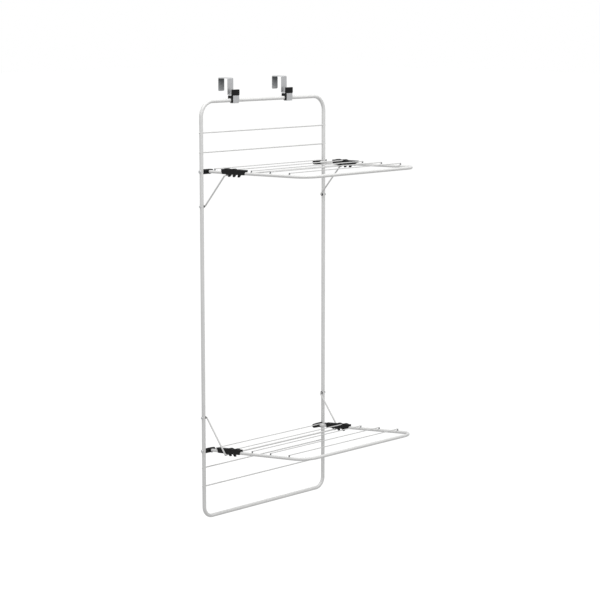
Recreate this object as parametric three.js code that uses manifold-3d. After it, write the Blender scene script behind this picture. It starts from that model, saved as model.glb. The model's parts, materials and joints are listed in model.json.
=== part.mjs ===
// Over-door drying rack: a tall loop of tube hangs from two strap hooks and carries two racks that
// fold flat against it. Each rack is held level by a wire bail that drops into a notched bracket.
// Millimetres, +X across, -Y out from the door, +Z up. The model is drawn in the frame's own axes,
// with y = 0 in the plane of the loop and z = 0 on the middle of its bottom rail, and the whole
// group is then moved so that the origin is the middle of the door's top edge.
import * as THREE from "three";
import { mergeVertices } from "three/addons/utils/BufferGeometryUtils.js";
import Module from "manifold-3d";

const wasm = await Module();
wasm.setup();

// ---- Driving dimensions ----
const GAP = 0.3; // clearance between pieces that touch on the real rack

const FRAME_WIDTH = 550; // between the middles of the two uprights
const FRAME_HEIGHT = 1334; // between the middles of the top and bottom rails
const FRAME_CORNER = { top: 48, bottom: 34 }; // bend radii of the loop, on its middle line
const FRAME_TUBE = { radius: 6, bore: 5 };
const CROSS_WIRE_RADIUS = 2;
const CROSS_WIRE_INSETS = { upper: [97, 158.5], lower: [103, 164.5] }; // from the nearest rail
const CROSS_WIRE_PROUD = 3; // how far a wire's end stands out of the upright

const HINGE_INSET = 218.5; // from the nearest rail to a rack's hinge
const STRUT_INSET = 328; // from the nearest rail to a bail's pivot
const RACK_TILT = { upper: 1.16, lower: 5.56 }; // degrees that each open rack rises towards its front

const ARM_X = 251; // each arm's middle line, from the centre
const RACK_REACH = 437; // from the hinge to the middle of the front rail
const RACK_CORNER = 50;
const RACK_TUBE = { radius: 5, bore: 4 };
const ARM_START = 3; // the tube's open end, inside the hinge barrel
const RACK_WIRES = [36, 118, 200.5, 283, 365]; // from the hinge to each wire
const RACK_WIRE = { radius: 1.5, height: 10, bend: 3.5 };

const BARREL = { outer: 8, inner: 7, from: 229, bevel: 1.5 };
const COLLAR = { radius: 7.5, end: 13 };
const PIN = { radius: 3, head: 5.5, headDepth: 3.4, depth: 10 };

const STRUT_RADIUS = 2.5;
const STRUT_X = 261.5; // each leg's middle line
const STRUT_BEND = 4;
const STRUT_SEAT = { upper: 92, lower: 86 }; // from the hinge to the crossbar in its notch
const STRUT_END = 283; // where each pivot end stops, outside the upright
const BUSH = { radius: 4.5, from: 266 };
const CAP = { radius: 4.2, depth: 3.2 };

const BRACKET_LENGTH = 108;
const BRACKET_X = 250.5;
const BRACKET_WIDTH = 15;
const BRACKET_TOP = 11; // above the arm's middle line
const BRACKET_FLOOR = -5; // level with the underside of the arm, so that the crossbar can bear on it
const BRACKET_LEAN = 0.55; // how far a tooth or an end leans, for each mm of height
const TOOTH = { tip: -12.8, root: -6, halfTip: 2.6, halfRoot: 4.4, width: 7, first: 30, pitch: 21.5 };
const HUMPS = [22, 51]; // from the bracket's toothed end to each hump on its back
const HUMP = { half: 11, rise: 2.6 };
const BRACKET_START = { upper: 70, lower: 151 }; // from the hinge to the end that the teeth lean to

const HOOK_X = { left: -136.5, right: 102.5 };
const STRAP = { width: 25, thick: 1.5, bend: 3.5 };
const DOOR_GAP = 41; // inside the hook, for a door 40 thick
const LEG_Y = 13.5; // middle of the strap's front leg, behind the loop
const HOOK_TOP = 1403.25; // middle of the strap over the door
const BACK_LEG_END = 1361.5;
const STEP_Z = 1349.15; // middle of the strap where it steps forward over the rail
const PLATE_Y = -12.25; // middle of the strap in front of the rail
const CURL = { z: 1325.45, end: 3, bend: 2 };
const CLIP = { width: 30, top: 1368, capFront: -13.3, capBack: -6.5, back: 12.4, lip: 3.2, rear: 1338 };

const SIDES = [-1, 1];
const SIDE_NAME = { "-1": "left", 1: "right" };

// ---- Materials ----
const coat = new THREE.MeshStandardMaterial({ color: 0xe2e2e1, roughness: 0.45, metalness: 0.1 });
const zinc = new THREE.MeshStandardMaterial({ color: 0xc4c5c6, roughness: 0.35, metalness: 0.8 });
const black = new THREE.MeshStandardMaterial({ color: 0x151516, roughness: 0.55, metalness: 0 });

// ---- Solids ----
// A closed three.js geometry as a manifold solid, turned right way out.
function solid(geometry) {
  const bare = geometry.clone();
  bare.deleteAttribute("normal");
  bare.deleteAttribute("uv");
  const merged = mergeVertices(bare, 1e-4);
  const triVerts = new Uint32Array(merged.index.array);
  const vertProperties = new Float32Array(merged.attributes.position.array);
  const made = new wasm.Manifold(new wasm.Mesh({ numProp: 3, vertProperties, triVerts }));
  if (made.volume() > 0) return made;
  triVerts.reverse();
  return new wasm.Manifold(new wasm.Mesh({ numProp: 3, vertProperties, triVerts }));
}

function geometryOf(made) {
  const mesh = made.getMesh();
  const geometry = new THREE.BufferGeometry();
  geometry.setAttribute("position", new THREE.BufferAttribute(mesh.vertProperties, mesh.numProp));
  geometry.setIndex(new THREE.BufferAttribute(mesh.triVerts, 1));
  geometry.computeVertexNormals();
  return geometry;
}

function piece(name, made, material) {
  const mesh = new THREE.Mesh(geometryOf(made), material);
  mesh.name = name;
  return mesh;
}

// ---- Paths and sections ----
function circlePoints(radius, sides) {
  return Array.from({ length: sides }, (_, i) => {
    const angle = ((i + 0.5) / sides) * 2 * Math.PI;
    return new THREE.Vector2(radius * Math.cos(angle), radius * Math.sin(angle));
  });
}

// A bent rod's middle line: straight runs between corners, each corner rounded by an arc of one
// radius or of its own. Stations stand only where the line bends, so a straight run costs one step.
class BentPath extends THREE.Curve {
  constructor(corners, radius, bendSteps, closed = false) {
    super();
    this.stations = [];
    const count = corners.length;
    const at = (i) => corners[(i + count) % count];
    const direction = (i) => at(i + 1).clone().sub(at(i)).normalize();
    if (!closed) this.stations.push({ point: at(0), tangent: direction(0) });
    const [first, last] = closed ? [0, count] : [1, count - 1];
    for (let i = first; i < last; i += 1) {
      const bend = Array.isArray(radius) ? radius[i - first] : radius;
      this.addBend(at(i), direction(i - 1), direction(i), bend, bendSteps);
    }
    if (!closed) this.stations.push({ point: at(count - 1), tangent: direction(count - 2) });
    if (closed) this.stations.push(this.stations[0]);
    this.steps = this.stations.length - 1;
  }

  addBend(corner, before, after, radius, steps) {
    const turn = before.angleTo(after);
    const inward = after.clone().addScaledVector(before, -before.dot(after)).normalize();
    const start = corner.clone().addScaledVector(before, -radius * Math.tan(turn / 2));
    for (let i = 0; i <= steps; i += 1) {
      const angle = (turn * i) / steps;
      const along = radius * Math.sin(angle);
      const across = radius * (1 - Math.cos(angle));
      const point = start.clone().addScaledVector(before, along).addScaledVector(inward, across);
      const tangent = before.clone().multiplyScalar(Math.cos(angle)).addScaledVector(inward, Math.sin(angle));
      this.stations.push({ point, tangent });
    }
  }

  station(u) {
    return this.stations[Math.round(u * this.steps)];
  }

  getPointAt(u, target = new THREE.Vector3()) {
    return target.copy(this.station(u).point);
  }

  getTangentAt(u, target = new THREE.Vector3()) {
    return target.copy(this.station(u).tangent);
  }
}

// A round rod or, with a bore, an open-ended tube along a bent path.
function rod(path, radius, sides, bore = 0) {
  const section = new THREE.Shape(circlePoints(radius, sides));
  if (bore > 0) section.holes.push(new THREE.Path(circlePoints(bore, sides).reverse()));
  return solid(new THREE.ExtrudeGeometry(section, { steps: path.steps, extrudePath: path }));
}

// A solid of revolution round the X axis from [x, radius] points.
function turnedOnX(profile, sides) {
  const points = profile.map(([x, radius]) => new THREE.Vector2(radius, x));
  return solid(new THREE.LatheGeometry(points, sides).rotateZ(-Math.PI / 2));
}

function pinOnX(radius, fromX, toX, sides, y = 0, z = 0) {
  const low = Math.min(fromX, toX);
  const high = Math.max(fromX, toX);
  const made = turnedOnX([[low, 0], [low, radius], [high, radius], [high, 0]], sides);
  return made.translate([0, y, z]);
}

// A flat outline drawn in Y and Z, pushed along X about a middle plane.
const ACROSS = new THREE.Matrix4().makeBasis(
  new THREE.Vector3(0, 1, 0),
  new THREE.Vector3(0, 0, 1),
  new THREE.Vector3(1, 0, 0),
);
function plate(shape, middleX, width, curveSegments = 8) {
  const geometry = new THREE.ExtrudeGeometry(shape, { depth: width, bevelEnabled: false, curveSegments });
  geometry.translate(0, 0, middleX - width / 2);
  return solid(geometry.applyMatrix4(ACROSS));
}

function block(low, high) {
  const size = high.map((value, i) => value - low[i]);
  const middle = high.map((value, i) => (value + low[i]) / 2);
  return solid(new THREE.BoxGeometry(...size).translate(...middle));
}

// ---- The fixed frame ----
const heightFrom = { upper: (inset) => FRAME_HEIGHT - inset, lower: (inset) => inset };
const crossWireHeights = [
  ...CROSS_WIRE_INSETS.upper.map(heightFrom.upper),
  ...CROSS_WIRE_INSETS.lower.map(heightFrom.lower).reverse(),
];
const uprightX = FRAME_WIDTH / 2;
const outerFace = uprightX + FRAME_TUBE.radius;
const innerFace = uprightX - FRAME_TUBE.radius;

function frameLoop() {
  const corners = [
    [-uprightX, FRAME_HEIGHT],
    [uprightX, FRAME_HEIGHT],
    [uprightX, 0],
    [-uprightX, 0],
  ].map(([x, z]) => new THREE.Vector3(x, 0, z));
  const { top, bottom } = FRAME_CORNER;
  const path = new BentPath(corners, [top, top, bottom, bottom], 8, true);
  const skin = (radius, sides) => solid(new THREE.TubeGeometry(path, path.steps, radius, sides, true));
  let made = skin(FRAME_TUBE.radius, 12).subtract(skin(FRAME_TUBE.bore, 8));
  const drill = (side, radius, z) => {
    const hole = pinOnX(radius + GAP, side * (innerFace - 5), side * (outerFace + 5), 10, 0, z);
    made = made.subtract(hole);
  };
  for (const side of SIDES) {
    crossWireHeights.forEach((z) => drill(side, CROSS_WIRE_RADIUS, z));
    for (const height of Object.values(heightFrom)) {
      drill(side, PIN.radius, height(HINGE_INSET));
      drill(side, STRUT_RADIUS, height(STRUT_INSET));
    }
  }
  return piece("frame_loop", made, coat);
}

function crossWire(index, z) {
  const end = outerFace + CROSS_WIRE_PROUD;
  return piece(`cross_wire_${index + 1}`, pinOnX(CROSS_WIRE_RADIUS, -end, end, 8, 0, z), coat);
}

// A hinge pin goes in from outside, through the upright, into the rack's barrel.
function hingePin(name, side, z) {
  const seat = outerFace + GAP;
  const tip = innerFace - PIN.depth;
  const made = turnedOnX(
    [
      [tip, 0],
      [tip, PIN.radius],
      [seat, PIN.radius],
      [seat, PIN.head],
      [seat + PIN.headDepth * 0.4, PIN.head],
      [seat + PIN.headDepth, PIN.head * 0.6],
      [seat + PIN.headDepth, 0],
    ],
    12,
  );
  return piece(name, made.scale([side, 1, 1]).translate([0, 0, z]), zinc);
}

// A plastic bush spaces the bail's leg off the upright's inner face.
function strutBush(name, side, z) {
  const bore = STRUT_RADIUS + GAP;
  const face = innerFace - GAP;
  const made = turnedOnX(
    [
      [BUSH.from, bore],
      [BUSH.from, BUSH.radius - 0.5],
      [BUSH.from + 0.8, BUSH.radius],
      [face, BUSH.radius],
      [face, bore],
      [BUSH.from, bore],
    ],
    12,
  );
  return piece(name, made.scale([side, 1, 1]).translate([0, 0, z]), black);
}

function fixedFrame() {
  const group = new THREE.Group();
  group.add(frameLoop());
  crossWireHeights.forEach((z, index) => group.add(crossWire(index, z)));
  for (const [level, height] of Object.entries(heightFrom)) {
    for (const side of SIDES) {
      const suffix = `${level}_${SIDE_NAME[side]}`;
      group.add(hingePin(`hinge_pin_${suffix}`, side, height(HINGE_INSET)));
      group.add(strutBush(`strut_bush_${suffix}`, side, height(STRUT_INSET)));
    }
  }
  return group;
}

// ---- Racks, drawn flat with the hinge on the X axis and the arms running towards -Y ----
function rackTube(name) {
  const corners = [
    [-ARM_X, -ARM_START],
    [-ARM_X, -RACK_REACH],
    [ARM_X, -RACK_REACH],
    [ARM_X, -ARM_START],
  ].map(([x, y]) => new THREE.Vector3(x, y, 0));
  return piece(name, rod(new BentPath(corners, RACK_CORNER, 10), RACK_TUBE.radius, 12, RACK_TUBE.bore), coat);
}

// A rack wire crosses above the arms and turns down onto each of them.
function rackWire(name, reach) {
  const foot = RACK_TUBE.radius + GAP;
  const corners = [
    [-ARM_X, foot],
    [-ARM_X, RACK_WIRE.height],
    [ARM_X, RACK_WIRE.height],
    [ARM_X, foot],
  ].map(([x, z]) => new THREE.Vector3(x, -reach, z));
  return piece(name, rod(new BentPath(corners, RACK_WIRE.bend, 4), RACK_WIRE.radius, 8), coat);
}

// A hinge barrel turns on the pin and has a collar at its front for the end of the arm.
function hingeBarrel(name, side) {
  const face = innerFace - GAP;
  const body = turnedOnX(
    [
      [BARREL.from, 0],
      [BARREL.from, BARREL.inner - BARREL.bevel],
      [BARREL.from + BARREL.bevel, BARREL.inner],
      [ARM_X - COLLAR.radius, BARREL.outer],
      [face, BARREL.outer],
      [face, 0],
    ],
    16,
  );
  const along = (radius, from, to) =>
    solid(new THREE.CylinderGeometry(radius, radius, to - from, 12)).translate([ARM_X, -(from + to) / 2, 0]);
  const collar = along(COLLAR.radius, 0, COLLAR.end);
  const armSocket = along(RACK_TUBE.radius + GAP, ARM_START - GAP, COLLAR.end + 5);
  const pinSocket = pinOnX(PIN.radius + GAP, innerFace - PIN.depth - GAP, innerFace + 5, 12);
  const made = body.add(collar).subtract(armSocket).subtract(pinSocket);
  return piece(name, made.scale([side, 1, 1]), black);
}

// The outline of a tooth, leaning towards u = 0 as it goes down. u runs along the bracket.
function toothShape(tipU) {
  const lean = BRACKET_LEAN * (TOOTH.root - TOOTH.tip);
  return new THREE.Shape(
    [
      [tipU - TOOTH.halfTip, TOOTH.tip],
      [tipU + TOOTH.halfTip, TOOTH.tip],
      [tipU + lean + TOOTH.halfRoot, TOOTH.root],
      [tipU + lean + TOOTH.halfRoot, 0],
      [tipU + lean - TOOTH.halfRoot, 0],
      [tipU + lean - TOOTH.halfRoot, TOOTH.root],
    ].map(([u, z]) => new THREE.Vector2(u, z)),
  );
}

// The bracket's side view: leaning ends, a flat floor and a back with two low humps.
function bracketShape() {
  const endLean = BRACKET_LEAN * (BRACKET_TOP - BRACKET_FLOOR) * 0.5;
  const shape = new THREE.Shape();
  shape.moveTo(endLean, BRACKET_FLOOR);
  shape.lineTo(BRACKET_LENGTH - endLean, BRACKET_FLOOR);
  shape.lineTo(BRACKET_LENGTH, BRACKET_TOP);
  for (const middle of [...HUMPS].reverse()) {
    shape.lineTo(middle + HUMP.half, BRACKET_TOP);
    shape.quadraticCurveTo(middle, BRACKET_TOP + 2 * HUMP.rise, middle - HUMP.half, BRACKET_TOP);
  }
  shape.lineTo(0, BRACKET_TOP);
  shape.closePath();
  return shape;
}

// The bracket is clipped round an arm. start is the end that the teeth lean to, and heading is -1
// where the bracket runs outwards from there and 1 where it runs back towards the hinge.
function notchedBracket(name, side, start, heading) {
  const place = (made) => made.scale([1, heading, 1]).translate([0, -start, 0]);
  let made = place(plate(bracketShape(), BRACKET_X, BRACKET_WIDTH, 6));
  for (let tooth = 0; tooth < 3; tooth += 1) {
    const shape = toothShape(TOOTH.first + tooth * TOOTH.pitch);
    made = made.add(place(plate(shape, ARM_X, TOOTH.width)));
  }
  const bore = solid(new THREE.CylinderGeometry(RACK_TUBE.radius + GAP, RACK_TUBE.radius + GAP, 300, 16));
  made = made.subtract(bore.translate([ARM_X, -start, 0]));
  const groove = RACK_WIRE.radius + 0.6;
  for (const reach of RACK_WIRES) {
    made = made.subtract(block([BRACKET_X - 20, -reach - groove, 0], [ARM_X + 2.1, -reach + groove, 20]));
  }
  return piece(name, made.scale([side, 1, 1]), black);
}

function rack(level) {
  const group = new THREE.Group();
  group.add(rackTube(`${level}_rack_tube`));
  RACK_WIRES.forEach((reach, index) => group.add(rackWire(`${level}_rack_wire_${index + 1}`, reach)));
  for (const side of SIDES) {
    const suffix = SIDE_NAME[side];
    const heading = level === "upper" ? -1 : 1;
    group.add(hingeBarrel(`${level}_hinge_barrel_${suffix}`, side));
    group.add(notchedBracket(`${level}_notched_bracket_${suffix}`, side, BRACKET_START[level], heading));
  }
  group.position.z = heightFrom[level](HINGE_INSET);
  group.rotation.x = -THREE.MathUtils.degToRad(RACK_TILT[level]);
  return group;
}

// ---- Bails, drawn standing up from their pivot axis ----
// Where the crossbar lies under the arms, from the bail's own pivot, as a length and an angle.
function strutReach(level) {
  const tilt = THREE.MathUtils.degToRad(RACK_TILT[level]);
  const drop = -(RACK_TUBE.radius + STRUT_RADIUS + GAP);
  const seat = STRUT_SEAT[level];
  const out = seat * Math.cos(tilt) - drop * Math.sin(tilt);
  const hingeZ = heightFrom[level](HINGE_INSET);
  const up = hingeZ + seat * Math.sin(tilt) + drop * Math.cos(tilt) - heightFrom[level](STRUT_INSET);
  return { length: Math.hypot(out, up), angle: Math.atan2(out, up) };
}

function strut(level) {
  const group = new THREE.Group();
  const { length, angle } = strutReach(level);
  const points = [
    [-STRUT_END, 0],
    [-STRUT_X, 0],
    [-STRUT_X, length],
    [STRUT_X, length],
    [STRUT_X, 0],
    [STRUT_END, 0],
  ].map(([x, z]) => new THREE.Vector3(x, 0, z));
  const path = new BentPath(points, STRUT_BEND, 5);
  group.add(piece(`${level}_strut`, rod(path, STRUT_RADIUS, 10), coat));
  for (const side of SIDES) {
    const inner = outerFace + GAP;
    const blind = STRUT_END + GAP;
    const bore = STRUT_RADIUS + GAP;
    const outer = inner + CAP.depth;
    const made = turnedOnX(
      [
        [inner, bore],
        [inner, CAP.radius],
        [outer - 0.6, CAP.radius],
        [outer, CAP.radius - 1],
        [outer, 0],
        [blind, 0],
        [blind, bore],
        [inner, bore],
      ],
      12,
    );
    group.add(piece(`${level}_strut_cap_${SIDE_NAME[side]}`, made.scale([side, 1, 1]), zinc));
  }
  group.position.z = heightFrom[level](STRUT_INSET);
  group.rotation.x = angle;
  return group;
}

// ---- Door hooks ----
// The strap's side view: a middle line offset to both faces. grow thickens it, for its own slot.
function strapShape(grow) {
  const backY = LEG_Y + STRAP.thick + DOOR_GAP;
  const corners = [
    [backY, BACK_LEG_END],
    [backY, HOOK_TOP],
    [LEG_Y, HOOK_TOP],
    [LEG_Y, STEP_Z],
    [PLATE_Y, STEP_Z],
    [PLATE_Y, CURL.z],
    [CURL.end, CURL.z],
  ].map(([y, z]) => new THREE.Vector3(y, z, 0));
  const bends = [STRAP.bend, STRAP.bend, STRAP.bend, CURL.bend, CURL.bend];
  const { stations } = new BentPath(corners, bends, 5);
  const half = STRAP.thick / 2 + grow;
  const face = (sign) =>
    stations.map(
      ({ point, tangent }) =>
        new THREE.Vector2(point.x - sign * half * tangent.y, point.y + sign * half * tangent.x),
    );
  return new THREE.Shape([...face(1), ...face(-1).reverse()]);
}

// The clip's side view: a cap above the strap's step and a jaw that wraps the rail from the front.
function clipShape() {
  const rail = FRAME_HEIGHT;
  const bore = FRAME_TUBE.radius + GAP;
  const front = PLATE_Y + STRAP.thick / 2 + GAP;
  const bottom = CURL.z + STRAP.thick / 2 + GAP;
  const stepTop = STEP_Z + STRAP.thick / 2 + GAP;
  const lowAngle = -Math.acos(CLIP.lip / bore);
  const highAngle = Math.asin((CLIP.rear - rail) / bore);
  const shape = new THREE.Shape();
  shape.moveTo(front, bottom);
  shape.lineTo(CLIP.lip, bottom);
  shape.lineTo(bore * Math.cos(lowAngle), rail + bore * Math.sin(lowAngle));
  shape.absarc(0, rail, bore, lowAngle, highAngle, true);
  shape.lineTo(CLIP.back, CLIP.rear);
  shape.lineTo(CLIP.back, stepTop - STRAP.thick - 2 * GAP);
  shape.lineTo(CLIP.capBack, stepTop - STRAP.thick - 2 * GAP);
  shape.lineTo(CLIP.capBack, CLIP.top);
  shape.lineTo(CLIP.capFront + 1, CLIP.top);
  shape.lineTo(CLIP.capFront, CLIP.top - 1);
  shape.lineTo(CLIP.capFront, stepTop);
  shape.lineTo(front, stepTop);
  shape.closePath();
  return shape;
}

function hook(name, middleX) {
  const group = new THREE.Group();
  const slot = plate(strapShape(GAP), middleX, STRAP.width + 2 * GAP);
  const clip = plate(clipShape(), middleX, CLIP.width, 10).subtract(slot);
  group.add(piece(`door_hook_${name}`, plate(strapShape(0), middleX, STRAP.width), zinc));
  group.add(piece(`hook_clip_${name}`, clip, black));
  return group;
}

// ---- The whole rack, moved so that the origin is the middle of the door's top edge ----
const dryingRack = new THREE.Group();
dryingRack.add(fixedFrame());
for (const level of ["upper", "lower"]) dryingRack.add(rack(level), strut(level));
for (const [name, middleX] of Object.entries(HOOK_X)) dryingRack.add(hook(name, middleX));
dryingRack.position.set(0, -(LEG_Y + (STRAP.thick + DOOR_GAP) / 2), -(HOOK_TOP - STRAP.thick / 2));

export default dryingRack;
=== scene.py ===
"""Over-door drying rack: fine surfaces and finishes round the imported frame.

Every rod, tube and strap is a section carried along a bent middle line, every pin, bush and barrel
is a profile spun round an axis, and the moulded brackets and clips are lofts with rounded edges.
Places and outer sizes come from the frame's boxes, meshes and joints. Metres, +X across, -Y out
from the door, +Z up.
"""

import json
import math

import bmesh
import bpy
import numpy as np
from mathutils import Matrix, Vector


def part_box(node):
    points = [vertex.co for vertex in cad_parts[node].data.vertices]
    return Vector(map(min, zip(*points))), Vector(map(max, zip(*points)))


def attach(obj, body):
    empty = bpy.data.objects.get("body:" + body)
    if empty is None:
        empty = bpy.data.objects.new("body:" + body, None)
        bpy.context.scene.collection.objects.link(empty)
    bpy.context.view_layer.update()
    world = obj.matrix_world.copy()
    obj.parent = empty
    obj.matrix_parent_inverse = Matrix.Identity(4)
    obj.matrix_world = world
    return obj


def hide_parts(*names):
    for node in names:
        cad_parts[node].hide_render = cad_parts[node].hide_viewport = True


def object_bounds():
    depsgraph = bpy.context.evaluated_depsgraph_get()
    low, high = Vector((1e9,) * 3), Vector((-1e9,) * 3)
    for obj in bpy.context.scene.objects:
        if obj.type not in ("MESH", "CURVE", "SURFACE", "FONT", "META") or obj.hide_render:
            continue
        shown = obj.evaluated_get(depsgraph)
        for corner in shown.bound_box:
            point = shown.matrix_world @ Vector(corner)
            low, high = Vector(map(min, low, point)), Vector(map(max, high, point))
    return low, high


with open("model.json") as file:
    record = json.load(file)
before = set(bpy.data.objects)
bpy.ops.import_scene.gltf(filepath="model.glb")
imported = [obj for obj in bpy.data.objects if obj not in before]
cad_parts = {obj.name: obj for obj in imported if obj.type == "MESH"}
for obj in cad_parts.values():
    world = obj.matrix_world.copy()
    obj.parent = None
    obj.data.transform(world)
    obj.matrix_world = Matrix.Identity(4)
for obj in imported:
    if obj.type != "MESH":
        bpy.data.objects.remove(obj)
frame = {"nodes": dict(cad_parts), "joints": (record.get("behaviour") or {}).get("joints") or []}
cad_low, cad_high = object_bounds()

MM = 0.001
LEVELS = ("upper", "lower")
SIDES = {"left": -1.0, "right": 1.0}
X_AXIS = np.array([1.0, 0.0, 0.0])
Y_AXIS = np.array([0.0, 1.0, 0.0])
Z_AXIS = np.array([0.0, 0.0, 1.0])
joints = {joint["name"]: joint for joint in frame["joints"]}


# ---------------------------------------------------------------- reading the frame
def box(name):
    """The lowest and highest corner of a CAD node, as arrays."""
    low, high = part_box(name)
    return np.array(low), np.array(high)


def middle(name):
    """The middle of a CAD node's box."""
    low, high = box(name)
    return (low + high) / 2


def axis_point(place):
    """Where a line along X through a point meets the middle plane."""
    return place * (Y_AXIS + Z_AXIS)


def span(name, origin, axis):
    """How far a CAD node reaches from a point along an axis: lowest and highest."""
    mesh = frame["nodes"][name].data
    points = np.empty(len(mesh.vertices) * 3)
    mesh.vertices.foreach_get("co", points)
    along = (points.reshape(-1, 3) - origin) @ axis
    return float(along.min()), float(along.max())


def spread_of(name):
    """How far from the middle a CAD node on one side starts and ends."""
    low, high = box(name)
    return sorted((abs(low[0]), abs(high[0])))


LOOP_LOW, LOOP_HIGH = box("frame_loop")
LOOP_Y = (LOOP_HIGH[1] + LOOP_LOW[1]) / 2
TUBE_RADIUS = (LOOP_HIGH[1] - LOOP_LOW[1]) / 2
UPRIGHT_X = LOOP_HIGH[0] - TUBE_RADIUS
RAIL_TOP = LOOP_HIGH[2] - TUBE_RADIUS
RAIL_BOTTOM = LOOP_LOW[2] + TUBE_RADIUS
INNER_FACE = UPRIGHT_X - TUBE_RADIUS
OUTER_FACE = UPRIGHT_X + TUBE_RADIUS
GAP = 0.3 * MM
LOOP_CORNER = {"top": 48 * MM, "bottom": 34 * MM}
# Foot and head of the dark sheet of painted shade inside each hook's back leg.
PAD_FOOT = RAIL_TOP + 27.9 * MM
PAD_HEAD = RAIL_TOP + 65.7 * MM

RACK_RADIUS = 5 * MM
RACK_CORNER = 50 * MM
ARM_X = box("upper_rack_tube")[1][0] - RACK_RADIUS
ARM_START = 3 * MM
WIRE_RADIUS = 1.5 * MM
WIRE_BEND = 3.5 * MM
WIRES = range(1, 6)
CROSS_WIRES = range(1, 5)

BAIL_RADIUS = 2.5 * MM
BAIL_BEND = 4 * MM
BAIL_X = 261.5 * MM
BAIL_SEAT = {"upper": 92 * MM, "lower": 86 * MM}


# ---------------------------------------------------------------- meshes
def skin(rings, closed_rows=False):
    """A closed shell over an array of rings: rings x points x 3, capped unless the rings close up."""
    rows, columns = rings.shape[:2]
    last = rows if closed_rows else rows - 1
    row, column = np.meshgrid(np.arange(last), np.arange(columns), indexing="ij")
    next_row = (row + 1) % rows
    next_column = (column + 1) % columns
    corners = (row * columns + column, row * columns + next_column,
               next_row * columns + next_column, next_row * columns + column)
    faces = np.stack(corners, axis=-1).reshape(-1, 4).tolist()
    if not closed_rows:
        faces.append(list(range(columns)))
        faces.append(list(range((rows - 1) * columns, rows * columns)))
    return rings.reshape(-1, 3), faces


def piece(name, shells, finish, body, nodes=(), smooth_angle=40):
    """One object from closed shells, with its faces turned outwards.

    It rides on a body, takes its finish from a slot and stands for the named CAD nodes.
    """
    points, faces, count = [], [], 0
    for shell_points, shell_faces in shells:
        points.append(shell_points)
        faces.extend([corner + count for corner in face] for face in shell_faces)
        count += len(shell_points)
    mesh = bpy.data.meshes.new(name)
    mesh.from_pydata(np.concatenate(points).tolist(), [], faces)
    work = bmesh.new()
    work.from_mesh(mesh)
    bmesh.ops.recalc_face_normals(work, faces=work.faces)
    work.to_mesh(mesh)
    work.free()
    mesh.shade_smooth()
    mesh.set_sharp_from_angle(angle=math.radians(smooth_angle))
    mesh.materials.append(finish)
    made = bpy.data.objects.new(name, mesh)
    bpy.context.scene.collection.objects.link(made)
    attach(made, body)
    if nodes:
        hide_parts(*nodes)
    return made


def quarter(steps=6):
    """Angles from 0 to a quarter turn."""
    return np.linspace(0, np.pi / 2, steps + 1)


def circle(radius, sides):
    """A ring of (sideways, upwards) offsets: radius x (cos a, sin a)."""
    angle = np.arange(sides) / sides * 2 * np.pi
    return np.stack([np.cos(angle), np.sin(angle)], axis=1) * radius


def rounded_rectangle(half_wide, half_high, radius, steps=4):
    """A ring of (sideways, upwards) offsets: a quarter circle at each corner of a rectangle."""
    rings = []
    for index, (across, up) in enumerate(((1, 1), (-1, 1), (-1, -1), (1, -1))):
        angle = quarter(steps) + index * np.pi / 2
        rings.append(np.stack([across * (half_wide - radius) + radius * np.cos(angle),
                               up * (half_high - radius) + radius * np.sin(angle)], axis=1))
    return np.concatenate(rings)


def bent_line(corners, radius, steps, closed=False):
    """A middle line with rounded corners, as (points, unit tangents).

    Each corner is an arc that leaves the run before it at radius x tan(half the turn) short of it.
    """
    corners = np.asarray(corners, float)
    count = len(corners)
    step = np.roll(corners, -1, axis=0) - corners
    along = step / np.linalg.norm(step, axis=1, keepdims=True)
    radii = np.broadcast_to(radius, count)
    places = [] if closed else [corners[:1]]
    tangents = [] if closed else [along[:1]]
    for index in range(count) if closed else range(1, count - 1):
        before, after = along[index - 1], along[index]
        turn = math.acos(float(np.clip(before @ after, -1, 1)))
        inward = after - before * (before @ after)
        inward = inward / np.linalg.norm(inward)
        angle = np.linspace(0, turn, steps + 1 if radii[index] > 0 else 1)[:, None]
        start = corners[index] - before * radii[index] * math.tan(turn / 2)
        places.append(start + radii[index] * (np.sin(angle) * before + (1 - np.cos(angle)) * inward))
        tangents.append(np.cos(angle) * before + np.sin(angle) * inward)
    if not closed:
        places.append(corners[-1:])
        tangents.append(along[-2:-1])
    return np.concatenate(places), np.concatenate(tangents)


def rounded_outline(corners, radius, steps=5):
    """A flat closed outline of (across, up) points whose corners are rounded."""
    flat = np.pad(np.asarray(corners, float), ((0, 0), (0, 1)))
    return bent_line(flat, radius, steps, closed=True)[0][:, :2]


def swept(line, normal, section, closed=False, dome=0.0):
    """A section carried along a flat line whose plane has the given normal.

    Each ring is point + sideways x (normal x tangent) + upwards x normal. With dome, rings beyond
    each end stand at dome x sin(a) and shrink as cos(a), which closes the end in a dome that high.
    """
    places, tangents = line
    shrink = np.ones(len(places))
    if dome > 0:
        angle = quarter()[1:-1]
        beyond = np.sin(angle)[:, None] * dome
        places = np.concatenate([places[0] - tangents[0] * beyond[::-1], places,
                                 places[-1] + tangents[-1] * beyond])
        tangents = np.pad(tangents, ((len(angle), len(angle)), (0, 0)), mode="edge")
        shrink = np.concatenate([np.cos(angle[::-1]), shrink, np.cos(angle)])
    sideways = np.cross(normal, tangents)
    offset = section[None, :, :1] * sideways[:, None] + section[None, :, 1:] * normal
    return skin(places[:, None] + shrink[:, None, None] * offset, closed)


def turned(profile, origin, axis, sides=36, ring=False):
    """(distance along, radius) points spun round an axis. A ring's profile closes on itself."""
    profile = np.asarray(profile, float)
    across = np.cross(axis, Z_AXIS if abs(axis[2]) < 0.9 else X_AXIS)
    across = across / np.linalg.norm(across)
    spokes = circle(1.0, sides) @ np.stack([across, np.cross(axis, across)])
    rings = origin + profile[:, :1, None] * axis + profile[:, 1:, None] * spokes
    return skin(rings, closed_rows=ring)


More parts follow.
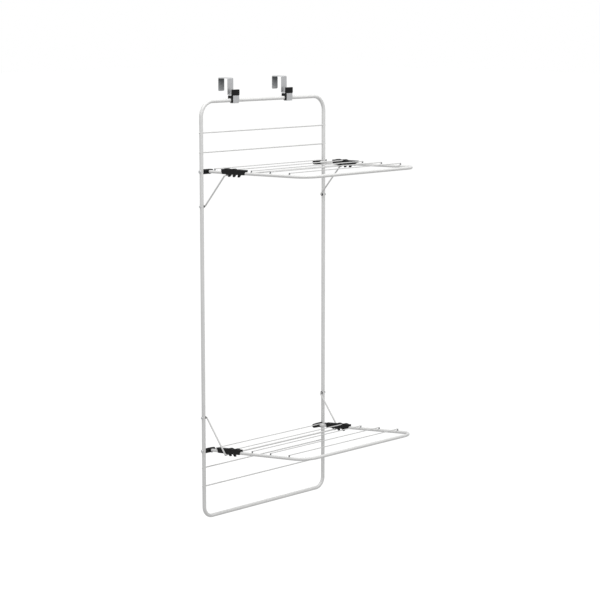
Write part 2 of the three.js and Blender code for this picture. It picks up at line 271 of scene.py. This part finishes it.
def rounded_end(end, radius, depth, soft, steps=5):
    """Profile points that close a turned piece: from its side to its end face round an arc."""
    angle = quarter(steps)
    along = end - math.copysign(soft, depth) * (1 - np.sin(angle))
    return np.stack([along, radius - soft * (1 - np.cos(angle))], axis=1)


def domed_end(rim, end, radius, steps=8):
    """Profile points of a dome: from a rim of the given radius to the top, rim + rise x sin a."""
    angle = quarter(steps)[:-1]
    return np.stack([rim + (end - rim) * np.sin(angle), radius * np.cos(angle)], axis=1)


def slab(outline, place, half, edge):
    """A flat outline given a thickness, with rounded edges.

    Rings stand at half - edge x (1 - cos t) from the middle, on both sides, and draw in along the
    outline's normals by edge x (1 - sin t). place turns (thickness, across, up) into points.
    """
    ahead = np.roll(outline, -1, axis=0)
    behind = np.roll(outline, 1, axis=0)
    area = (outline[:, 0] * ahead[:, 1] - outline[:, 1] * ahead[:, 0]).sum()
    run = ahead - behind
    inward = np.stack([-run[:, 1], run[:, 0]], axis=1) * np.sign(area)
    inward = inward / np.linalg.norm(inward, axis=1, keepdims=True)
    turn = quarter(4)
    level = half - edge * (1 - np.cos(turn))
    inset = edge * (1 - np.sin(turn))
    level = np.concatenate([-level, level[::-1]])[:, None]
    inset = np.concatenate([inset, inset[::-1]])[:, None]
    across = outline[:, 0] + inset * inward[:, 0]
    up = outline[:, 1] + inset * inward[:, 1]
    return skin(place(np.broadcast_to(level, across.shape), across, up))


# ---------------------------------------------------------------- finishes
def linear(hex_colour):
    """An sRGB hex colour as linear red, green and blue, with full alpha."""
    value = np.array([int(hex_colour[i:i + 2], 16) for i in (1, 3, 5)]) / 255
    curve = np.where(value <= 0.04045, value / 12.92, ((value + 0.055) / 1.055) ** 2.4)
    return (*curve.tolist(), 1.0)


def add_node(tree, kind, settings=None, links=None):
    """A node with its settings and its incoming links. A setting is a property or an input socket."""
    made = tree.nodes.new(kind)
    for key, value in (settings or {}).items():
        if isinstance(key, str) and hasattr(made, key):
            setattr(made, key, value)
        else:
            made.inputs[key].default_value = value
    for key, source in (links or {}).items():
        tree.links.new(source, made.inputs[key])
    return made


def new_finish(name, settings):
    """An empty finish: its node tree, its shader and the Object coordinates that patterns read."""
    finish = bpy.data.materials.new(name)
    finish.use_nodes = True
    tree = finish.node_tree
    tree.nodes.clear()
    shader = add_node(tree, "ShaderNodeBsdfPrincipled", settings)
    add_node(tree, "ShaderNodeOutputMaterial", links={"Surface": shader.outputs["BSDF"]})
    place = add_node(tree, "ShaderNodeTexCoord").outputs["Object"]
    return finish, tree, shader, place


def lay_on(tree, shader, tint, gloss, relief):
    """Three patterns laid on a shader, each given as its node and two values.

    The tint blends two colours, the gloss runs between two roughnesses as its pattern goes from 0.3
    to 0.7, and the relief takes its pattern as height, with a strength and a depth.
    """
    pattern, first, second = tint
    blend = add_node(tree, "ShaderNodeMix", {"data_type": "RGBA", 6: linear(first), 7: linear(second)},
                     {0: pattern.outputs[0]})
    tree.links.new(blend.outputs[2], shader.inputs["Base Color"])
    pattern, smooth, rough = gloss
    spread = add_node(tree, "ShaderNodeMapRange",
                      {"From Min": 0.3, "From Max": 0.7, "To Min": smooth, "To Max": rough},
                      {"Value": pattern.outputs[0]})
    tree.links.new(spread.outputs["Result"], shader.inputs["Roughness"])
    pattern, strength, depth = relief
    bump = add_node(tree, "ShaderNodeBump", {"Strength": strength, "Distance": depth},
                    {"Height": pattern.outputs[0]})
    tree.links.new(bump.outputs["Normal"], shader.inputs["Normal"])


def powder_coat(name, deep, pale, smooth, rough):
    """Polyester powder coat, sprayed on steel and baked: an even satin skin.

    The film's tone wanders over 60 mm, hands and laundry polish it in 25 mm patches, and the orange
    peel has lumps of 1.8 mm, drawn a little coarse so that they catch the light.
    """
    finish, tree, shader, place = new_finish(name, {"IOR": 1.5})
    film = add_node(tree, "ShaderNodeTexNoise", {"Scale": 1 / (60 * MM), "Detail": 3.0}, {"Vector": place})
    worn = add_node(tree, "ShaderNodeTexNoise", {"Scale": 1 / (25 * MM), "Detail": 4.0}, {"Vector": place})
    peel = add_node(tree, "ShaderNodeTexNoise", {"Scale": 1 / (1.8 * MM), "Detail": 1.0}, {"Vector": place})
    lay_on(tree, shader, tint=(film, deep, pale), gloss=(worn, smooth, rough),
           relief=(peel, 0.25, 0.08 * MM))
    return finish


def zinc_plate(name, deep, pale):
    """Bright zinc plated on cold-rolled steel: satin grey metal.

    Fine rolling lines 0.9 mm apart run down the strap, and the plating clouds in 14 mm patches.
    """
    finish, tree, shader, place = new_finish(name, {"Metallic": 1.0})
    clouds = add_node(tree, "ShaderNodeTexNoise", {"Scale": 1 / (14 * MM), "Detail": 3.0},
                      {"Vector": place})
    drawn_out = add_node(tree, "ShaderNodeMapping", {"Scale": (1.0, 0.04, 0.04)}, {"Vector": place})
    lines = add_node(tree, "ShaderNodeTexNoise", {"Scale": 1 / (0.9 * MM), "Detail": 2.0},
                     {"Vector": drawn_out.outputs["Vector"]})
    lay_on(tree, shader, tint=(clouds, deep, pale), gloss=(lines, 0.38, 0.52),
           relief=(lines, 0.2, 0.04 * MM))
    return finish


def polypropylene(name, deep, pale):
    """Injection-moulded polypropylene: a matt skin with a spark-eroded grain.

    The grain is 0.8 mm, drawn coarse so that it shows, and handling shines the surface in 9 mm
    patches, which also vary a little in tone where the melt flowed.
    """
    finish, tree, shader, place = new_finish(name, {"IOR": 1.49, "Specular IOR Level": 0.32})
    flow = add_node(tree, "ShaderNodeTexNoise", {"Scale": 1 / (9 * MM), "Detail": 3.0}, {"Vector": place})
    grain = add_node(tree, "ShaderNodeTexNoise", {"Scale": 1 / (0.8 * MM), "Detail": 2.0},
                     {"Vector": place})
    lay_on(tree, shader, tint=(flow, deep, pale), gloss=(flow, 0.46, 0.6),
           relief=(grain, 0.35, 0.08 * MM))
    return finish


def painted_shade_finish(name, deep, pale):
    """A dull dark grey sheet whose colour is painted shade: the shade that falls inside the hook under the
    strap's top bend.

    The painted shade is darkest at the head and pales down to the foot, and the bump grain is 0.9 mm, drawn
    coarse.
    """
    finish, tree, shader, place = new_finish(name, {"IOR": 1.4, "Specular IOR Level": 0.25})
    level = add_node(tree, "ShaderNodeSeparateXYZ", links={"Vector": place})
    # painted shade: darkest at the head under the strap's top bend, paler towards the foot
    shade_ramp = add_node(tree, "ShaderNodeMapRange", {"From Min": PAD_HEAD, "From Max": PAD_FOOT},
                      {"Value": level.outputs["Z"]})
    cells = add_node(tree, "ShaderNodeTexNoise", {"Scale": 1 / (0.9 * MM), "Detail": 2.0},
                     {"Vector": place})
    lay_on(tree, shader, tint=(shade_ramp, deep, pale), gloss=(cells, 0.75, 0.9),
           relief=(cells, 0.4, 0.1 * MM))
    return finish


TUBE_COAT = powder_coat("light grey powder coat", "#dddddc", "#e5e5e4", 0.34, 0.44)
WIRE_COAT = powder_coat("pale powder coat on wire", "#d3d3d2", "#dbdbda", 0.32, 0.42)
ZINC = zinc_plate("bright zinc plate", "#dcdddf", "#e8e9ea")
BLACK = polypropylene("black moulded polypropylene", "#060607", "#0f1011")
GREY = polypropylene("dark grey moulded polypropylene", "#6a6b6c", "#78797a")
# Painted shade: the dark grey sheet inside each hook's back leg, darker towards its head.
SHADE_SHEET_FINISH = painted_shade_finish("dark grey sheet of painted shade", "#5f6264", "#afb1b2")


# ---------------------------------------------------------------- the fixed frame
FILLET = {"sunk": -1.2 * MM, "proud": 1.6 * MM, "wide": 1.6, "narrow": 0.98}
WIRE_DOME = 0.7  # how high a cross wire's end stands, for its radius
PIN = {"shank": 3 * MM, "tip": 2.3 * MM, "bevel": 0.7 * MM, "brim": 0.4 * MM, "rim": 0.35}
BUSH_SOFT = 0.8 * MM


def make_frame_loop():
    """One tube bent into a closed rectangle, with wider bends at the top."""
    corners = [(-UPRIGHT_X, LOOP_Y, RAIL_TOP), (UPRIGHT_X, LOOP_Y, RAIL_TOP),
               (UPRIGHT_X, LOOP_Y, RAIL_BOTTOM), (-UPRIGHT_X, LOOP_Y, RAIL_BOTTOM)]
    bends = [LOOP_CORNER["top"]] * 2 + [LOOP_CORNER["bottom"]] * 2
    line = bent_line(corners, bends, steps=24, closed=True)
    shell = swept(line, Y_AXIS, circle(TUBE_RADIUS, sides=40), closed=True)
    piece("loop_tube", [shell], TUBE_COAT, "frame", ["frame_loop"])


def make_cross_wires():
    """Straight rods with domed ends, and a collar of coating where each enters an upright.

    The collar's radius falls from its wide share of the rod's to its narrow one as a quarter of a sine.
    """
    fall = np.linspace(0, 1, 6)
    wide, narrow = FILLET["wide"], FILLET["narrow"]
    reach = FILLET["sunk"] + fall * (FILLET["proud"] - FILLET["sunk"])
    swell = wide - (wide - narrow) * np.sin(fall * np.pi / 2)
    for index in CROSS_WIRES:
        node = f"cross_wire_{index}"
        low, high = box(node)
        radius = (high[2] - low[2]) / 2
        centre = axis_point(middle(node))
        dome = WIRE_DOME * radius
        ends = centre + np.outer([low[0] + dome, high[0] - dome], X_AXIS)
        shells = [swept((ends, np.stack([X_AXIS, X_AXIS])), Y_AXIS, circle(radius, sides=20), dome=dome)]
        collar = np.stack([reach, radius * swell], axis=1)
        for side in SIDES.values():
            for face, outward in ((OUTER_FACE, 1), (INNER_FACE, -1)):
                origin = centre + side * face * X_AXIS
                shells.append(turned(collar, origin, X_AXIS * side * outward, sides=20))
        piece(f"{node}_rod", shells, WIRE_COAT, "frame", [node])


def make_hinge_pins():
    """A pan-headed pin: a flat rim, a shallow dome and a plain shank into the barrel."""
    for level in LEVELS:
        for side_name, side in SIDES.items():
            node = f"hinge_pin_{level}_{side_name}"
            low, high = box(node)
            head = (high[2] - low[2]) / 2
            tip, top = spread_of(node)
            seat = OUTER_FACE + GAP
            shank = [(tip, PIN["tip"]), (tip + PIN["bevel"], PIN["shank"]), (seat, PIN["shank"]),
                     (seat, head - PIN["brim"]), (seat + PIN["brim"], head)]
            rim = seat + PIN["rim"] * (top - seat)
            profile = np.concatenate([shank, domed_end(rim, top, head)])
            shell = turned(profile, axis_point(middle(node)), X_AXIS * side)
            piece(f"{node}_turned", [shell], ZINC, "frame", [node])


def make_strut_bushes():
    """A spacer ring with a rounded rim, open in the middle for the bail's end."""
    for level in LEVELS:
        for side_name, side in SIDES.items():
            node = f"strut_bush_{level}_{side_name}"
            low, high = box(node)
            rim = (high[2] - low[2]) / 2
            inner, outer = spread_of(node)
            bore = BAIL_RADIUS + GAP
            edge = rounded_end(inner, rim, -1, BUSH_SOFT)
            profile = np.concatenate([[(outer, bore), (inner, bore)], edge[::-1], [(outer, rim)]])
            shell = turned(profile, axis_point(middle(node)), X_AXIS * side, ring=True)
            piece(f"{node}_ring", [shell], BLACK, "frame", [node])


# ---------------------------------------------------------------- the racks
PLUG = {"radius": 2.4 * MM, "low": 4.4 * MM, "high": 10.6 * MM, "soft": 0.7 * MM}
BARREL = {"thick": 8 * MM, "thin": 7 * MM, "soft": 1.5 * MM, "bevel": 0.5 * MM}
COLLAR = {"radius": 7.5 * MM, "end": 13 * MM, "soft": 0.9 * MM}
BRACKET = {"x": 250.5 * MM, "half": 7.5 * MM, "top": 11 * MM, "floor": -4.7 * MM, "edge": 1.2 * MM}
LEAN = 0.55  # how far a tooth or an end leans for its height
HEADING = {"upper": -1, "lower": 1}  # whether a bracket runs outwards or back from its toothed end
SHOULDER = (0.12, 0.18)  # share of a bracket's half width and half height that its top corners take
HUMPS = (22 * MM, 51 * MM)
HUMP = {"half": 11 * MM, "rise": 2.6 * MM}
TOOTH = {"tip": -12.8 * MM, "root": -6 * MM, "half_tip": 2.6 * MM, "half_root": 4.4 * MM,
         "half_thick": 3.5 * MM, "edge": 0.6 * MM}
TEETH = [(30 + 21.5 * index) * MM for index in range(3)]
SLOT = {"half": 2.1 * MM, "floor": 4 * MM, "edge": 2.6 * MM, "wire": 2, "wall": 0.02 * MM}
TOOTH_SOFT = np.array([1.6, 1.6, 2.0, 0.8, 0.8, 2.0]) * MM  # round its outline, from the tip
CAP = {"bevel": 0.3 * MM, "rim": 0.4}


class Rack:
    """A rack's own directions: out along the arms and up off them, from the middle of its hinge."""

    def __init__(self, level):
        self.level = level
        self.body = f"{level}_rack"
        self.hinge = np.array(joints[f"{level}_rack_fold"]["pos_m"])
        run = middle(f"{level}_rack_wire_5") - middle(f"{level}_rack_wire_1")
        self.out = run / np.linalg.norm(run)
        self.up = np.cross(self.out, X_AXIS)
        self.up = self.up * np.sign(self.up[2])

    def at(self, x, out, up):
        """Points from arrays or numbers: across, out along the arms, and up off them."""
        x, out, up = (np.asarray(value, float)[..., None] for value in (x, out, up))
        return self.hinge + x * X_AXIS + out * self.out + up * self.up

    def reach(self, index):
        """How far out a wire crosses."""
        return sum(span(f"{self.level}_rack_wire_{index}", self.hinge, self.out)) / 2


def make_rack_tube(rack):
    """One tube: an arm, a bend, the front rail, a bend and the other arm."""
    node = f"{rack.level}_rack_tube"
    front = span(node, rack.hinge, rack.out)[1] - RACK_RADIUS
    corners = rack.at([-ARM_X, -ARM_X, ARM_X, ARM_X], [ARM_START, front, front, ARM_START], 0)
    line = bent_line(corners, RACK_CORNER, steps=24)
    shell = swept(line, rack.up, circle(RACK_RADIUS, sides=36))
    piece(f"{node}_bent", [shell], TUBE_COAT, rack.body, [node])


def make_rack_wires(rack):
    """Wires that cross above the arms and turn down into a plug on each of them."""
    foot = RACK_RADIUS + GAP
    lip = rounded_end(PLUG["high"], PLUG["radius"], 1, PLUG["soft"])
    plug = np.concatenate([[(PLUG["low"], PLUG["radius"])], lip[::-1]])
    for index in WIRES:
        node = f"{rack.level}_rack_wire_{index}"
        reach = rack.reach(index)
        height = span(node, rack.hinge, rack.up)[1] - WIRE_RADIUS
        corners = rack.at([-ARM_X, -ARM_X, ARM_X, ARM_X], reach, [foot, height, height, foot])
        line = bent_line(corners, WIRE_BEND, steps=12)
        shell = swept(line, rack.out, circle(WIRE_RADIUS, sides=16))
        piece(f"{node}_rod", [shell], WIRE_COAT, rack.body, [node])
        for side_name, side in SIDES.items():
            shell = turned(plug, rack.at(side * ARM_X, reach, 0), rack.up, sides=20)
            piece(f"{rack.level}_wire_plug_{index}_{side_name}", [shell], GREY, rack.body)


def make_hinge_barrels(rack):
    """A tapered sleeve on the hinge's axis, and a lipped collar round the start of the arm."""
    for side_name, side in SIDES.items():
        node = f"{rack.level}_hinge_barrel_{side_name}"
        inner, face = spread_of(node)
        nose = rounded_end(inner, BARREL["thin"], -1, BARREL["soft"])
        shoulder = ARM_X - COLLAR["radius"]
        bevel = BARREL["bevel"]
        back = [(shoulder, BARREL["thick"]), (face - bevel, BARREL["thick"]),
                (face, BARREL["thick"] - bevel)]
        sleeve = turned(np.concatenate([nose[::-1], back]), rack.hinge, X_AXIS * side, sides=40)
        lip = rounded_end(COLLAR["end"], COLLAR["radius"], 1, COLLAR["soft"])
        profile = np.concatenate([[(0, COLLAR["radius"])], lip[::-1]])
        collar = turned(profile, rack.at(side * ARM_X, 0, 0), rack.out)
        piece(f"{node}_moulding", [sleeve, collar], BLACK, rack.body, [node])


def bracket_section(across_steps=15):
    """A ring round the bracket's body, from -1 to 1 each way, with even steps along its top.

    Its two upper corners are quarter ellipses, SHOULDER wide and high.
    """
    turn = quarter(3)
    wide, high = SHOULDER
    right = np.stack([1 - wide + wide * np.cos(turn), 1 - high + high * np.sin(turn)], axis=1)
    left = right[::-1] * (-1, 1)
    crown = np.linspace(1 - wide, wide - 1, across_steps)[1:-1]
    crown = np.stack([crown, np.ones_like(crown)], axis=1)
    return np.concatenate([[(1, -1)], right, crown, left, [(-1, -1)]])


def bracket_body(rack, side, start, length):
    """A loft along the arm from the toothed end.

    The back is level with two parabolas on it, each rise x (1 - t x t). The ends draw in by a
    quarter circle and lean, and a slot is sunk from the inner side to past the middle for a wire.
    """
    heading = HEADING[rack.level]
    wire = (start - rack.reach(SLOT["wire"])) * heading
    edge = BRACKET["edge"]
    half, wall = SLOT["half"], SLOT["wall"]
    cuts = [wire - half - wall, wire - half, wire + half, wire + half + wall]
    ends = edge * (1 - np.cos(quarter(4)))
    even = np.linspace(edge, length - edge, 90)
    along = np.unique(np.concatenate([ends, even, length - ends, cuts]))[:, None]
    near = np.clip(np.minimum(along, length - along), 0, edge)
    inset = edge - np.sqrt(edge ** 2 - (edge - near) ** 2)
    top = BRACKET["top"] - inset
    for hump in HUMPS:
        top = top + HUMP["rise"] * np.clip(1 - ((along - hump) / HUMP["half"]) ** 2, 0, None)
    floor = BRACKET["floor"] + inset
    section = bracket_section()
    across = section[:, 0] * (BRACKET["half"] - inset)
    up = floor + (section[:, 1] + 1) / 2 * (top - floor)
    sunk = (np.abs(along - wire) <= half + wall / 2) & (across < SLOT["edge"])
    up = np.where(sunk, np.minimum(up, SLOT["floor"]), up)
    lean = LEAN / 2 * (1 - 2 * along / length)
    out = start - heading * (along + lean * (BRACKET["top"] - up))
    return skin(rack.at(side * (BRACKET["x"] + across), out, up))


def bracket_teeth(rack, side, start):
    """Three teeth under the body on the arm's middle line, each a leaning wedge with a soft tip."""
    def place(thickness, along, up):
        return rack.at(side * (ARM_X + thickness), start - HEADING[rack.level] * along, up)

    teeth = []
    for tip in TEETH:
        root = tip + LEAN * (TOOTH["root"] - TOOTH["tip"])
        corners = [(tip - TOOTH["half_tip"], TOOTH["tip"]), (tip + TOOTH["half_tip"], TOOTH["tip"]),
                   (root + TOOTH["half_root"], TOOTH["root"]), (root + TOOTH["half_root"], 0),
                   (root - TOOTH["half_root"], 0), (root - TOOTH["half_root"], TOOTH["root"])]
        outline = rounded_outline(corners, TOOTH_SOFT)
        teeth.append(slab(outline, place, TOOTH["half_thick"], TOOTH["edge"]))
    return teeth


def make_notched_brackets(rack):
    """Clipped round each arm. The teeth lean to the hinge above and to the front rail below."""
    for side_name, side in SIDES.items():
        node = f"{rack.level}_notched_bracket_{side_name}"
        near, far = span(node, rack.hinge, rack.out)
        start = near if HEADING[rack.level] < 0 else far
        shells = [bracket_body(rack, side, start, far - near)] + bracket_teeth(rack, side, start)
        piece(f"{node}_moulding", shells, BLACK, rack.body, [node])


def make_strut(rack):
    """The bail: two legs and a crossbar in one bent rod, whose ends turn out through the uprights."""
    level = rack.level
    body = f"{level}_strut"
    pivot = axis_point(np.array(joints[f"{level}_strut_swing"]["pos_m"]))
    under_arm = -(RACK_RADIUS + BAIL_RADIUS + GAP)
    leg = axis_point(rack.at(0, BAIL_SEAT[level], under_arm)) - pivot
    end = box(body)[1][0]
    across = np.array([-end, -BAIL_X, -BAIL_X, BAIL_X, BAIL_X, end])[:, None]
    raised = np.array([0, 0, 1, 1, 0, 0])[:, None]
    line = bent_line(pivot + across * X_AXIS + raised * leg, BAIL_BEND, steps=10)
    normal = np.cross(X_AXIS, leg) / np.linalg.norm(leg)
    shell = swept(line, normal, circle(BAIL_RADIUS, sides=24))
    piece(f"{level}_strut_rod", [shell], WIRE_COAT, body, [body])
    for side_name, side in SIDES.items():
        node = f"{level}_strut_cap_{side_name}"
        radius = span(node, pivot, Z_AXIS)[1]
        inner, outer = spread_of(node)
        rim = inner + CAP["rim"] * (outer - inner)
        bevel = CAP["bevel"]
        profile = np.concatenate([[(inner, radius - bevel), (inner + bevel, radius)],
                                  domed_end(rim, outer, radius)])
        piece(f"{node}_pressing", [turned(profile, pivot, X_AXIS * side)], ZINC, body, [node])


# ---------------------------------------------------------------- the door hooks
# Across the strap's side view, y is from the plane of the loop and z from the middle of the top rail.
STRAP = {"half_wide": 12.5 * MM, "half_thick": 0.75 * MM, "edge": 0.3 * MM, "bend": 3.5 * MM,
         "end_round": 4 * MM}
STRAP_PATH = {"back": 56 * MM, "back_end": 27.5 * MM, "leg": 13.5 * MM, "step": 15.15 * MM,
              "plate": -12.25 * MM, "curl": -8.55 * MM, "curl_end": 3 * MM, "curl_bend": 2 * MM}
CLIP = {"half_wide": 15 * MM, "edge": 0.7 * MM, "top": 34 * MM, "cap_front": -13.3 * MM,
        "cap_back": -6.5 * MM, "back": 12.4 * MM, "rear": 4 * MM, "lip": 3.2 * MM,
        "slim": 0.19, "slim_from": -5 * MM, "slim_over": 3 * MM}
CLIP_FRONT_SOFT = (6.0, 0.5)  # mm, round the clip's outline before the jaw and after it
CLIP_BACK_SOFT = (1.2, 1.2, 0.8, 1.6, 2.0, 0.8, 0.8)
JAW_POINTS = 33
# The dark sheet of painted shade inside each hook's back leg.
PAD = {"half_thick": 0.4 * MM, "edge": 0.25 * MM, "inset": 0.2 * MM, "foot_round": 3.6 * MM,
       "head_round": 0.8 * MM}


def strap_line(x, top):
    """The strap's middle line, from the back leg's end over the door to the curl under the rail."""
    path = STRAP_PATH
    corners = [(path["back"], path["back_end"]), (path["back"], top), (path["leg"], top),
               (path["leg"], path["step"]), (path["plate"], path["step"]),
               (path["plate"], path["curl"]), (path["curl_end"], path["curl"])]
    bends = [0] + [STRAP["bend"]] * 3 + [path["curl_bend"]] * 2 + [0]
    corners = [(x, LOOP_Y + y, RAIL_TOP + z) for y, z in corners]
    return bent_line(corners, bends, steps=10)


def make_door_hook(side_name):
    """A flat strap whose ends are rounded: it narrows by e - sqrt(e x e - (e - d)^2) at d from an end."""
    node = f"door_hook_{side_name}"
    low, high = box(node)
    places, tangents = strap_line((low[0] + high[0]) / 2, high[2] - RAIL_TOP - STRAP["half_thick"])
    end = STRAP["end_round"]
    near = end * (1 - np.cos(quarter(6)))
    inset = end - np.sqrt(end ** 2 - (end - near) ** 2)
    places = np.concatenate([places[0] + near[:, None] * tangents[0], places[1:-1],
                             places[-1] - near[::-1, None] * tangents[-1]])
    tangents = np.pad(tangents, ((len(near) - 1, len(near) - 1), (0, 0)), mode="edge")
    narrow = np.concatenate([inset, np.zeros(len(places) - 2 * len(near)), inset[::-1]])
    section = rounded_rectangle(STRAP["half_thick"], STRAP["half_wide"], STRAP["edge"])
    sideways = np.cross(X_AXIS, tangents)
    across = section[None, :, 1] * (1 - narrow[:, None] / STRAP["half_wide"])
    rings = places[:, None] + section[None, :, :1] * sideways[:, None] + across[:, :, None] * X_AXIS
    piece(f"{node}_strap", [skin(rings)], ZINC, f"{side_name}_hook", [node])


def make_painted_shade_sheet(side_name):
    """A thin dark sheet inside the back leg, as wide as the strap: painted shade where the strap's top bend
    and front leg shade the inner face.
    """
    low, high = box(f"door_hook_{side_name}")
    x = (low[0] + high[0]) / 2
    inner_face = LOOP_Y + STRAP_PATH["back"] - STRAP["half_thick"]
    top = high[2] - STRAP["half_thick"] - STRAP["bend"]
    half_wide = STRAP["half_wide"] - PAD["inset"]
    corners = [(-half_wide, PAD_FOOT), (half_wide, PAD_FOOT), (half_wide, top), (-half_wide, top)]
    outline = rounded_outline(corners, [PAD["foot_round"]] * 2 + [PAD["head_round"]] * 2)

    def place(thickness, across, z):
        return np.stack([x + across, inner_face - PAD["half_thick"] + thickness, z], axis=-1)

    # painted shade: a dark sheet standing for the shade inside the back leg
    shell = slab(outline, place, PAD["half_thick"], PAD["edge"])
    piece(f"back_leg_shade_{side_name}", [shell], SHADE_SHEET_FINISH, f"{side_name}_hook")


def make_hook_clip(side_name):
    """A cap over the strap's step, and a jaw that wraps the rail from the front.

    Behind the cap the moulding slims evenly to the strap's own width.
    """
    node = f"hook_clip_{side_name}"
    x = middle(node)[0]
    bore = TUBE_RADIUS + GAP
    clearance = STRAP["half_thick"] + GAP
    front = STRAP_PATH["plate"] + clearance
    bottom = STRAP_PATH["curl"] + clearance
    over_step = STRAP_PATH["step"] + clearance
    under_step = STRAP_PATH["step"] - clearance
    lip_turn = -math.acos(CLIP["lip"] / bore)
    rear_turn = math.asin(CLIP["rear"] / bore) - 2 * np.pi
    turn = np.linspace(lip_turn, rear_turn, JAW_POINTS)
    jaw = bore * np.stack([np.cos(turn), np.sin(turn)], axis=1)
    before = [(front, bottom), (CLIP["lip"], bottom)]
    after = [(CLIP["back"], CLIP["rear"]), (CLIP["back"], under_step), (CLIP["cap_back"], under_step),
             (CLIP["cap_back"], CLIP["top"]), (CLIP["cap_front"], CLIP["top"]),
             (CLIP["cap_front"], over_step), (front, over_step)]
    radii = np.array([*CLIP_FRONT_SOFT, *([0] * JAW_POINTS), *CLIP_BACK_SOFT]) * MM
    outline = rounded_outline(np.concatenate([before, jaw, after]), radii)

    def place(thickness, y, z):
        slimming = 1 - CLIP["slim"] * np.clip((y - CLIP["slim_from"]) / CLIP["slim_over"], 0, 1)
        return np.stack([x + thickness * slimming, LOOP_Y + y, RAIL_TOP + z], axis=-1)

    shell = slab(outline, place, CLIP["half_wide"], CLIP["edge"])
    piece(f"{node}_moulding", [shell], BLACK, f"{side_name}_hook", [node])


make_frame_loop()
make_cross_wires()
make_hinge_pins()
make_strut_bushes()
for level_name in LEVELS:
    drawn = Rack(level_name)
    make_rack_tube(drawn)
    make_rack_wires(drawn)
    make_hinge_barrels(drawn)
    make_notched_brackets(drawn)
    make_strut(drawn)
for hook_side in SIDES:
    make_door_hook(hook_side)
    make_painted_shade_sheet(hook_side)
    make_hook_clip(hook_side)


# ---------------------------------------------------------------- floor, light and camera
FLOOR_DROP = 250 * MM
FLOOR_HALF = 40.0
SURROUND = 0.56  # what lights the rack from all round; the camera sees white instead
LAMP_OFFSET = (-0.6, -0.9, 3.2)
LAMP_SIZE = 3.0
LAMP_POWER = 95
CAMERA_AZIMUTH = math.radians(-45.372)
CAMERA_ELEVATION = math.radians(9.084)
CAMERA_OFFSET = (-4.1020, -4.2107, 1.6180)
CAMERA_LENS = 109.1


def link(name, data):
    """A new object in the scene from its data."""
    made = bpy.data.objects.new(name, data)
    bpy.context.scene.collection.objects.link(made)
    return made


def make_floor():
    """A matt floor under the bottom rail that glows to just white, so thin wires keep their tone."""
    height = RAIL_BOTTOM - FLOOR_DROP
    corners = [(x * FLOOR_HALF, y * FLOOR_HALF, height) for x, y in ((-1, -1), (1, -1), (1, 1), (-1, 1))]
    mesh = bpy.data.meshes.new("floor")
    mesh.from_pydata(corners, [], [(0, 1, 2, 3)])
    finish = new_finish("pale matt floor", {
        "Base Color": linear("#6d6d6d"), "Roughness": 0.95, "Specular IOR Level": 0.1,
        "Emission Color": linear("#ffffff"), "Emission Strength": 0.92})[0]
    mesh.materials.append(finish)
    floor = link("floor", mesh)
    floor.visible_diffuse = False
    floor.visible_glossy = False


def light_studio():
    """An even surround, brighter behind what the camera sees."""
    world = bpy.data.worlds.new("studio")
    bpy.context.scene.world = world
    world.use_nodes = True
    tree = world.node_tree
    tree.nodes.clear()
    surround = add_node(tree, "ShaderNodeBackground", {"Color": (1, 1, 1, 1), "Strength": SURROUND})
    backdrop = add_node(tree, "ShaderNodeBackground", {"Color": (1, 1, 1, 1), "Strength": 1.0})
    seen = add_node(tree, "ShaderNodeLightPath").outputs["Is Camera Ray"]
    mixed = add_node(tree, "ShaderNodeMixShader",
                     links={0: seen, 1: surround.outputs[0], 2: backdrop.outputs[0]})
    add_node(tree, "ShaderNodeOutputWorld", links={"Surface": mixed.outputs[0]})


def add_lamp(name, place, aim, size, power):
    """A square soft lamp that faces a point."""
    lamp = bpy.data.lights.new(name, "AREA")
    lamp.size = size
    lamp.energy = power
    made = link(name, lamp)
    made.location = place
    made.rotation_euler = Vector(aim - place).to_track_quat("-Z", "Y").to_euler()


def place_camera():
    """A long lens to the left of the rack, a little above its middle."""
    camera = bpy.data.cameras.new("camera")
    camera.lens = CAMERA_LENS
    camera.sensor_width = 36
    camera.clip_end = 200
    made = link("camera", camera)
    made.location = np.array([0, LOOP_Y, RAIL_BOTTOM]) + CAMERA_OFFSET
    made.rotation_euler = (math.pi / 2 - CAMERA_ELEVATION, 0, CAMERA_AZIMUTH)
    bpy.context.scene.camera = made


make_floor()
light_studio()
centre = (np.array(cad_low) + np.array(cad_high)) / 2
add_lamp("overhead lamp", centre + LAMP_OFFSET, centre, LAMP_SIZE, LAMP_POWER)
place_camera()
bpy.context.scene.view_settings.view_transform = "Standard"
